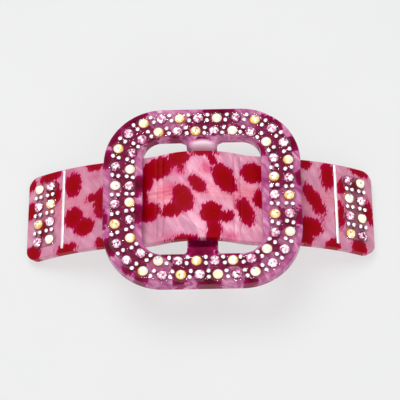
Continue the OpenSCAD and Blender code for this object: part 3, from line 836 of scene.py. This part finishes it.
def crossbar_object():
    """The crossbar: sunk under the strap, ramped up to the ring at both ends, with fillets."""
    root = WINDOW_HALF_Y
    blend = CROSSBAR_BLEND
    half_ys = np.concatenate(
        [
            np.linspace(0, CROSSBAR_FLAT, 18)[1:-1],
            np.linspace(CROSSBAR_FLAT - blend, CROSSBAR_RAMP_END + blend, 12),
            root - FILLET_R * np.cos(np.linspace(0, math.pi / 2, 9)),
            [root + 0.6, root + 1.2],
        ]
    )
    ys = np.concatenate([-half_ys[::-1], half_ys])
    turns = np.linspace(0, math.pi / 2, 6)
    r, b = CROSSBAR_TOP_R, CROSSBAR_LOW_R
    verts = []
    for y in ys:
        ramp_len = CROSSBAR_RAMP_END - CROSSBAR_FLAT + 2 * blend
        climb = float(smooth((abs(y) - CROSSBAR_FLAT + blend) / ramp_len))
        high = CROSSBAR_TOP + climb * (BUCKLE_TOP - CROSSBAR_SINK - CROSSBAR_TOP)
        rise = float(np.clip((abs(y) - CROSSBAR_FLAT) / (root - CROSSBAR_FLAT), 0, 1))
        low = CROSSBAR_LOW + CROSSBAR_RISE * rise
        into = min(max(abs(y) - (root - FILLET_R), 0.0), FILLET_R)
        half = CROSSBAR_W / 2 + FILLET_R - math.sqrt(FILLET_R**2 - into**2)
        loop = [(half - r + r * math.cos(q), high - r + r * math.sin(q)) for q in turns]
        loop += [(u, high) for u in np.linspace(half - r, r - half, 10)[1:-1]]
        loop += [(-half + r - r * math.sin(q), high - r + r * math.cos(q)) for q in turns]
        loop += [(-half + b - b * math.cos(q), low + b - b * math.sin(q)) for q in turns]
        loop += [(half - b + b * math.sin(q), low + b - b * math.cos(q)) for q in turns]
        verts += [(x + BUCKLE_X, y + BUCKLE_Y, z) for x, z in loop]
    ring = len(verts) // len(ys)
    faces = grid_faces(len(ys), ring) + end_faces(len(ys), ring)
    return solid("crossbar", verts, faces)


# ---- stones, beads and glaze ----


def islands(node):
    """The separate solids of a CAD node, each as an array of points in millimetres."""
    mesh = nodes[node].data
    co = np.zeros(len(mesh.vertices) * 3)
    mesh.vertices.foreach_get("co", co)
    co = co.reshape(-1, 3) / MM
    key, index = np.unique(np.round(co, 3), axis=0, return_inverse=True)
    index = index.ravel()
    pairs = np.zeros(len(mesh.edges) * 2, int)
    mesh.edges.foreach_get("vertices", pairs)
    pairs = index[pairs].reshape(-1, 2)
    label = np.arange(len(key))
    while True:
        low = np.minimum(label[pairs[:, 0]], label[pairs[:, 1]])
        new = label.copy()
        np.minimum.at(new, pairs[:, 0], low)
        np.minimum.at(new, pairs[:, 1], low)
        new = new[new]
        if (new == label).all():
            break
        label = new
    return [key[label == k] for k in np.unique(label)]


# Stones and beads beyond this x and below this z stand on a wing, and the rest on the buckle
WING_FROM_X = 36
WING_BELOW_Z = 14


def seat(points):
    """Where a stone or bead stands, and its own upright frame: (foot point, 3x3 rotation)."""
    centre = (points.min(0) + points.max(0)) / 2
    side = 1 if centre[0] > 0 else -1
    if abs(centre[0]) < WING_FROM_X or centre[2] > WING_BELOW_Z:
        low = points[:, 2].min()
        return Vector((centre[0], centre[1], low)), Matrix.Identity(3)
    a = math.atan2(side * centre[0] - WING_CX, centre[2] - WING_CZ)
    turn = Matrix.Rotation(side * a, 3, "Y")
    local = np.array([turn.transposed() @ Vector(p) for p in points])
    mid = (local.min(0) + local.max(0)) / 2
    foot = turn @ Vector((mid[0], mid[1], local[:, 2].min()))
    return foot, turn


STONE_H = 1.3
GIRDLE_H = 0.3
MIDDLE_R = 1.12
MIDDLE_H = 0.84
TABLE_R = 0.84


def stone_shape():
    """A flat-backed brilliant: 16-sided girdle, 8 kites, 8 stars and a table seen as 8 wedges."""
    verts = []

    def circle(r, z, count, start=0.0):
        first = len(verts)
        for k in range(count):
            a = 2 * math.pi * (k + start) / count
            verts.append((r * math.cos(a), r * math.sin(a), z))
        return [first + k for k in range(count)]

    base = circle(STONE_R - 0.12, 0.0, 16)
    low = circle(STONE_R, 0.10, 16)
    edge = circle(STONE_R, GIRDLE_H, 16)
    girdle = circle(STONE_R - 0.16, GIRDLE_H + 0.12, 16)
    middle = circle(MIDDLE_R, MIDDLE_H, 8, 0.5)
    table = circle(TABLE_R, STONE_H - 0.05, 8)
    verts.append((0, 0, STONE_H))
    top = len(verts) - 1
    faces = [tuple(base[::-1])]
    kinds = ["base"]
    for k in range(16):
        n = (k + 1) % 16
        faces.append((base[k], base[n], low[n], low[k]))
        faces.append((low[k], low[n], edge[n], edge[k]))
        faces.append((edge[k], edge[n], girdle[n], girdle[k]))
        kinds += ["base", "girdle", "outline"]
    for k in range(8):
        n = (k + 1) % 8
        g0, g1, g2 = girdle[2 * k], girdle[2 * k + 1], girdle[(2 * k + 2) % 16]
        faces.append((g0, g1, middle[k]))
        faces.append((g1, g2, middle[k]))
        faces.append((g0, middle[k], table[k], middle[k - 1]))
        faces.append((table[k], middle[k], table[n]))
        faces.append((top, table[k], table[n]))
        kinds += ["break", "break", "kite", "star", "table"]
    return np.array(verts), faces, kinds


def pink_glint(kind, k, rng, phase, mood):
    """How bright a facet of a pink stone looks: a bright star, and dark facets round it.
    k and phase are only there so that both kinds of stone are called alike."""
    choices = {
        "table": [0.22, 0.45, 0.9, 1.0],
        "star": [0.10, 0.36, 0.8, 1.0],
        "kite": [0.14, 0.36, 0.6, 1.0],
        "break": [0.04, 0.16, 0.3, 0.62],
    }
    if kind not in choices:
        return 0.02
    return min(1.0, max(0.05, rng.choice(choices[kind]) + 0.34 * (mood - 0.5)))


def aurora_glint(kind, k, rng, phase, mood):
    """How bright facet k of an aurora stone looks. mood makes the stone mostly white, or gold
    on the side that phase points to, or gold all round. High values are blue."""
    gold = 0.5 + 0.5 * math.cos(phase + k * math.pi / 4)
    if mood < 0.3:
        gold *= 0.35
    elif mood > 0.72:
        gold = 0.6 + 0.4 * gold
    if kind == "table":
        if mood > 0.72:
            return rng.choice([0.14, 0.3, 0.5, 0.6, 0.7]) if rng.random() > 0.12 else 0.04
        return rng.choice([0.34, 0.56, 0.66, 0.72]) if rng.random() > 0.04 else 1.0
    if kind == "star":
        return 0.62 - 0.3 * gold + rng.uniform(-0.1, 0.1)
    if kind == "kite":
        return 0.58 - 0.42 * gold + rng.uniform(-0.05, 0.08)
    if kind == "break":
        return 0.46 - 0.32 * gold + rng.uniform(-0.08, 0.08)
    return 0.0


def build_stones(name, node, material, glint):
    rng = random.Random(name)
    base, faces, kinds = stone_shape()
    verts = []
    polys = []
    tones = []
    for points in islands(node):
        foot, frame3 = seat(points)
        turn = frame3 @ Matrix.Rotation(rng.uniform(0, math.pi / 4), 3, "Z")
        tip = Matrix.Rotation(rng.uniform(-0.05, 0.05), 3, "X")
        first = len(verts)
        for p in base:
            q = turn @ (tip @ Vector(p)) + foot
            verts.append(q[:])
        phase = rng.uniform(0, 2 * math.pi)
        mood = rng.random()
        counts = {}
        for f, kind in zip(faces, kinds):
            k = counts.get(kind, 0)
            counts[kind] = k + 1
            polys.append(tuple(first + v for v in f))
            tones.append(glint(kind, k / 2 if kind == "break" else k, rng, phase, mood))
    attributes = {"glint": ("FACE", tones)}
    return piece(name, verts, polys, material, [node], False, attributes)


BEAD_R = 0.6
BEAD_HOLE_R = 0.15
BEAD_STEPS = 18


def build_beads(name, node):
    """Seed beads: slightly flattened, each with its threading hole, lying at odd angles."""
    rng = random.Random(name)
    around = BEAD_STEPS
    r = BEAD_R
    hole = BEAD_HOLE_R
    profile = []
    for q in np.linspace(-1.18, 1.18, 9):
        profile.append((0.04 + (r - 0.04) * math.cos(q) ** 0.9, (r - 0.07) * math.sin(q)))
    end = profile[-1][1]
    profile += [(hole + 0.02, end * 0.96), (hole, end * 0.5), (hole, -end * 0.5), (hole + 0.02, -end * 0.96)]
    verts = []
    polys = []
    underside_shade = []
    for points in islands(node):
        foot, frame3 = seat(points)
        centre = foot + frame3 @ Vector((0, 0, r))
        heading = rng.uniform(0, math.pi)
        lift = rng.uniform(-0.5, 0.5)
        spin = Matrix.Rotation(heading, 3, "Z") @ Matrix.Rotation(math.pi / 2 + lift, 3, "Y")
        turn = frame3 @ spin
        up = frame3 @ Vector((0, 0, 1))
        first = len(verts)
        for k in range(around):
            a = 2 * math.pi * k / around
            for rad, z in profile:
                q = turn @ Vector((rad * math.cos(a), rad * math.sin(a), z))
                verts.append((q + centre)[:])
                # painted shade: how far down the bead's lower part each point lies, for the "foot" attribute
                underside_shade.append(float(smooth((0.24 - q.dot(up)) / 0.22)))
        m = len(profile)
        for k in range(around):
            n = (k + 1) % around
            for j in range(m):
                i = (j + 1) % m
                polys.append((first + k * m + j, first + n * m + j, first + n * m + i, first + k * m + i))
    return piece(name, verts, polys, SILVER, [node], True, {"foot": ("POINT", underside_shade)})


GLAZE_H = 0.34
GLAZE_REACH = STONE_R + 0.5
GLAZE_IN_MAX = 8.45
GLAZE_RIM_W = 0.42
GLAZE_EDGE_W = 0.5
GLAZE_LIFT = 0.012
GLAZE_SUNK = -0.02


def glaze_section(low, high, count=15):
    """Across the sheet from low to high: (place, height, nearness to the rim)."""
    out = []
    for q in np.linspace(0, math.pi, count):
        u = 0.5 - 0.5 * math.cos(q)
        d = min(u, 1 - u) * (high - low)
        rim = max(0.0, 1 - d / GLAZE_RIM_W)
        fall = max(0.0, 1 - d / GLAZE_EDGE_W)
        height = GLAZE_H * math.sqrt(max(0.0, 1 - fall**2)) + GLAZE_LIFT
        out.append((low + (high - low) * u, height, rim))
    return out


def ring_place(p):
    """(distance along the stones' guide, inset) of a point on the buckle's top."""
    c = GUIDE_HALF - GUIDE_R
    x, y = p[0] - BUCKLE_X, p[1] - ROW_Y
    quarter_len = 2 * c + math.pi / 2 * GUIDE_R
    for quarter in range(4):
        if x > abs(y) - 1e-9 or (x >= 0 and quarter == 3):
            break
        x, y = y, -x
    start = quarter * quarter_len
    if abs(y) <= c:
        return start + y + c, GUIDE_HALF - x
    inset = GUIDE_R - math.hypot(x - c, abs(y) - c)
    turn = math.atan2(abs(y) - c, x - c) * GUIDE_R
    return (start + 2 * c + turn if y > 0 else (start - turn) % (4 * quarter_len)), inset


def smoothed(values, width):
    """A running mean round a closed loop."""
    half = width // 2
    wrapped = np.concatenate([values[-half:], values, values[:half]])
    return np.convolve(wrapped, np.ones(width) / width, "valid")


def build_buckle_glaze():
    """One sheet of resin over both rows of stones, its edges scalloped round them."""
    c = GUIDE_HALF - GUIDE_R
    quarter_len = 2 * c + math.pi / 2 * GUIDE_R
    total = 4 * quarter_len
    places = []
    for node in ("buckle_stones_pink", "buckle_stones_aurora"):
        for points in islands(node):
            places.append(ring_place((points.min(0) + points.max(0)) / 2))
    places = np.array(places)
    flats, arcs = 100, 80
    path = rounded_rect(GUIDE_HALF, GUIDE_HALF, GUIDE_R, flats, arcs)
    quarter_along = [2 * c * i / flats for i in range(flats)]
    quarter_along += [2 * c + math.pi / 2 * GUIDE_R * i / arcs for i in range(arcs)]
    along = np.concatenate([np.array(quarter_along) + k * quarter_len for k in range(4)])
    on_arc = (along % quarter_len) > 2 * c

    def edge(row, away):
        # round a corner an inset row is shorter than its guide
        shrink = np.where(on_arc, (GUIDE_R - row[:, 1].mean()) / GUIDE_R, 1.0)
        gap = np.abs(along[:, None] - row[None, :, 0])
        gap = np.minimum(gap, total - gap)
        rise = np.sqrt(np.maximum(GLAZE_REACH**2 - (gap * shrink[:, None]) ** 2, 0.0)).max(1)
        centre = row[gap.argmin(1), 1]
        return smoothed(centre, 31) + away * smoothed(np.maximum(rise, 1.25), 5)

    out_edge = edge(places[places[:, 1] < 5], -1)
    in_edge = np.minimum(edge(places[places[:, 1] >= 5], 1), GLAZE_IN_MAX)
    verts = []
    rims = []
    for (p, n), low, high in zip(path, out_edge, in_edge):
        section = glaze_section(low, high, 25)
        for u, h, rim in section + [(u, GLAZE_SUNK, rim) for u, _, rim in section[::-1]]:
            q = p - n * u
            verts.append((q.x + BUCKLE_X, q.y + ROW_Y, BUCKLE_TOP + h))
            rims.append(rim)
    faces = grid_faces(len(path), len(verts) // len(path), closed_rings=True)
    rim_values = {"rim": ("POINT", rims)}
    obj = piece("buckle_glaze", verts, faces, RESIN, ["buckle_stone_glue"], True, rim_values)
    fix_normals(obj)
    return obj


def build_wing_glaze(side, name, node, stone_nodes):
    """One sheet of resin over both columns of stones on a wing."""
    ys = []
    arcs = []
    for n in stone_nodes:
        for points in islands(n):
            centre = (points.min(0) + points.max(0)) / 2
            a = math.atan2(side * centre[0] - WING_CX, centre[2] - WING_CZ)
            arcs.append(a * WING_TOP_R)
            ys.append(centre[1])
    arcs = np.array(arcs)
    ys = np.array(ys)
    mid = arcs.mean()
    near = ys[arcs < mid]
    far = ys[arcs >= mid]
    near_arc = arcs[arcs < mid].mean()
    far_arc = arcs[arcs >= mid].mean()
    reach = STONE_R + 0.36
    top = max(ys) + reach - 0.1
    rows = np.linspace(-top, top, 150)

    def rise(centres, y):
        gap = np.abs(centres - y)
        return max(1.05, float(np.sqrt(np.maximum(reach**2 - gap**2, 0)).max()))

    verts = []
    rims = []
    for y in rows:
        closing = math.sqrt(max(0.02, 1 - max(0.0, (abs(y) - top + 0.9) / 0.9) ** 2))
        low = near_arc - rise(near, y) * closing
        high = far_arc + rise(far, y) * closing
        section = glaze_section(low, high, 21)
        lid = [(u, h * closing, rim) for u, h, rim in section]
        for u, h, rim in lid + [(u, GLAZE_SUNK, rim) for u, _, rim in section[::-1]]:
            a = u / WING_TOP_R
            r = WING_TOP_R + h
            verts.append((side * (WING_CX + r * math.sin(a)), y, WING_CZ + r * math.cos(a)))
            rims.append(rim)
    ring = len(verts) // len(rows)
    faces = grid_faces(len(rows), ring) + end_faces(len(rows), ring)
    obj = piece(name, verts, faces, RESIN_THIN, [node], True, {"rim": ("POINT", rims)})
    fix_normals(obj)
    return obj


# ---- assemble ----

WHITE_INLAY = white_inlay()
SILVER = silver()
RESIN = clear_resin("clear_resin", 0.0, 0.10, 0.8)
RESIN_THIN = clear_resin("clear_resin_thin", 0.0, 0.05, 0.8)
GEM_PINK = gem("rhinestone_pink", PINK_STOPS)
GEM_AURORA = gem("rhinestone_aurora", AURORA_STOPS)

build_strap()
build_inlay(-1, "inlay_line_left", "inlay_left")
build_inlay(1, "inlay_line_right", "inlay_right")
build_buckle()
build_stones("buckle_gems_pink", "buckle_stones_pink", GEM_PINK, pink_glint)
build_stones("buckle_gems_aurora", "buckle_stones_aurora", GEM_AURORA, aurora_glint)
build_beads("buckle_seed_beads", "buckle_beads")
build_buckle_glaze()
for side, wing in ((-1, "left"), (1, "right")):
    stones = [f"{wing}_stones_pink", f"{wing}_stones_aurora"]
    build_stones(f"{wing}_gems_pink", stones[0], GEM_PINK, pink_glint)
    build_stones(f"{wing}_gems_aurora", stones[1], GEM_AURORA, aurora_glint)
    build_beads(f"{wing}_seed_beads", f"{wing}_beads")
    build_wing_glaze(side, f"{wing}_glaze", f"{wing}_stone_glue", stones)

NICKEL_LONG = nickel("nickel_rolled", rgb(176, 172, 166), "x")
NICKEL_CROSS = nickel("nickel_stamped", rgb(184, 180, 174), "y")
GLUE_DAB = clear_resin("glue_dab", 0.35, 0.0, 0.5)
finishes = {
    "clip_base": NICKEL_LONG,
    "clasp_arm": NICKEL_LONG,
    "tension_bar": NICKEL_LONG,
    "latch_saddle": NICKEL_CROSS,
    "latch_rivets": NICKEL_CROSS,
    "latch_wing_front": NICKEL_CROSS,
    "latch_wing_back": NICKEL_CROSS,
    "hinge_pin": NICKEL_CROSS,
    "buckle_glue": GLUE_DAB,
    "clip_glue": GLUE_DAB,
}
for node, material in finishes.items():
    mesh = nodes[node].data
    if not mesh.materials:
        mesh.materials.append(material)
    for k in range(len(mesh.materials)):
        mesh.materials[k] = material


# ---- floor, light and camera ----


def build_floor():
    t = Tree("pale_floor")
    grain = t.noise(t.place((0.02, 0.02, 0.02)), 1.0, 3.0, 0.6)
    t.surface(
        {
            "Base Color": t.ramp(grain, [(0.0, rgb(134, 136, 135)), (1.0, rgb(142, 144, 143))]),
            "Roughness": 0.9,
            "Specular IOR Level": 0.0,
            "Emission Color": rgb(240, 240, 240),
            "Emission Strength": 0.69,
        }
    )
    half = 3000.0
    mesh = bpy.data.meshes.new("floor")
    points = [(-half, -half, 0), (half, -half, 0), (half, half, 0), (-half, half, 0)]
    mesh.from_pydata([tuple(c * MM for c in p) for p in points], [], [(0, 1, 2, 3)])
    mesh.materials.append(t.material)
    obj = bpy.data.objects.new("floor", mesh)
    bpy.context.scene.collection.objects.link(obj)


LIT_POINT = (0, 0, 8)


def area_light(name, where, size, size_y, power):
    """A white rectangular light that faces the clip."""
    data = bpy.data.lights.new(name, "AREA")
    data.energy = power
    data.shape = "RECTANGLE"
    data.size = size * MM
    data.size_y = size_y * MM
    obj = bpy.data.objects.new(name, data)
    obj.location = Vector(where) * MM
    direction = (Vector(LIT_POINT) - Vector(where)) * MM
    obj.rotation_euler = direction.to_track_quat("-Z", "Y").to_euler()
    bpy.context.scene.collection.objects.link(obj)
    return obj


def build_camera():
    """The photograph's view: 450 mm from the clip, a little from the front and rolled."""
    azimuth, elevation, roll = math.radians(3.29), math.radians(64.31), math.radians(-4.07)
    distance = 450.0
    target = Vector((0.19, 2.35, 8.0))
    back = Vector(
        (
            math.sin(azimuth) * math.cos(elevation),
            -math.cos(azimuth) * math.cos(elevation),
            math.sin(elevation),
        )
    )
    right = Vector((math.cos(azimuth), math.sin(azimuth), 0))
    up = back.cross(right)
    right2 = right * math.cos(roll) + up * math.sin(roll)
    up2 = up * math.cos(roll) - right * math.sin(roll)
    data = bpy.data.cameras.new("camera")
    data.lens = 147.23
    data.sensor_width = 36
    data.sensor_fit = "HORIZONTAL"
    data.clip_start = 0.01
    data.clip_end = 20
    obj = bpy.data.objects.new("camera", data)
    rotation = Matrix((right2, up2, back)).transposed().to_4x4()
    obj.matrix_world = Matrix.Translation((target + back * distance) * MM) @ rotation
    bpy.context.scene.collection.objects.link(obj)
    bpy.context.scene.camera = obj


def build_lights():
    """A big soft key and fill, and bright lights that show only in the gloss of the small parts."""
    for name, where, size, power in (
        ("key", (-140, 240, 640), 460, 3.0),
        ("fill", (120, -420, 430), 520, 1.3),
    ):
        area_light(name, where, size, size, power).visible_glossy = False
    shiny = bpy.data.collections.new("shiny")
    for obj in bpy.context.scene.collection.objects:
        if obj.type == "MESH" and obj.name not in ("strap_shell", "buckle_ring", "floor"):
            shiny.objects.link(obj)
    for name, where, size, size_y, power in (
        ("glint_left", (-330, 160, 520), 70, 70, 1.5),
        ("glint_right", (300, 260, 480), 60, 60, 2.0),
        ("glint_near", (-160, -300, 520), 60, 60, 1.6),
        ("strip_front", (0, -500, 190), 700, 110, 9.0),
        ("strip_back", (60, 520, 420), 500, 60, 3.0),
    ):
        lamp = area_light(name, where, size, size_y, power)
        lamp.visible_diffuse = False
        lamp.light_linking.receiver_collection = shiny


def build_world():
    """An even white surround, and colours shown as they are."""
    world = bpy.data.worlds.new("studio")
    bpy.context.scene.world = world
    world.use_nodes = True
    background = world.node_tree.nodes["Background"]
    background.inputs["Color"].default_value = (1, 1, 1, 1)
    background.inputs["Strength"].default_value = 0.32
    bpy.context.scene.view_settings.view_transform = "Standard"
    bpy.context.scene.view_settings.look = "None"


build_floor()
build_camera()
build_lights()
build_world()
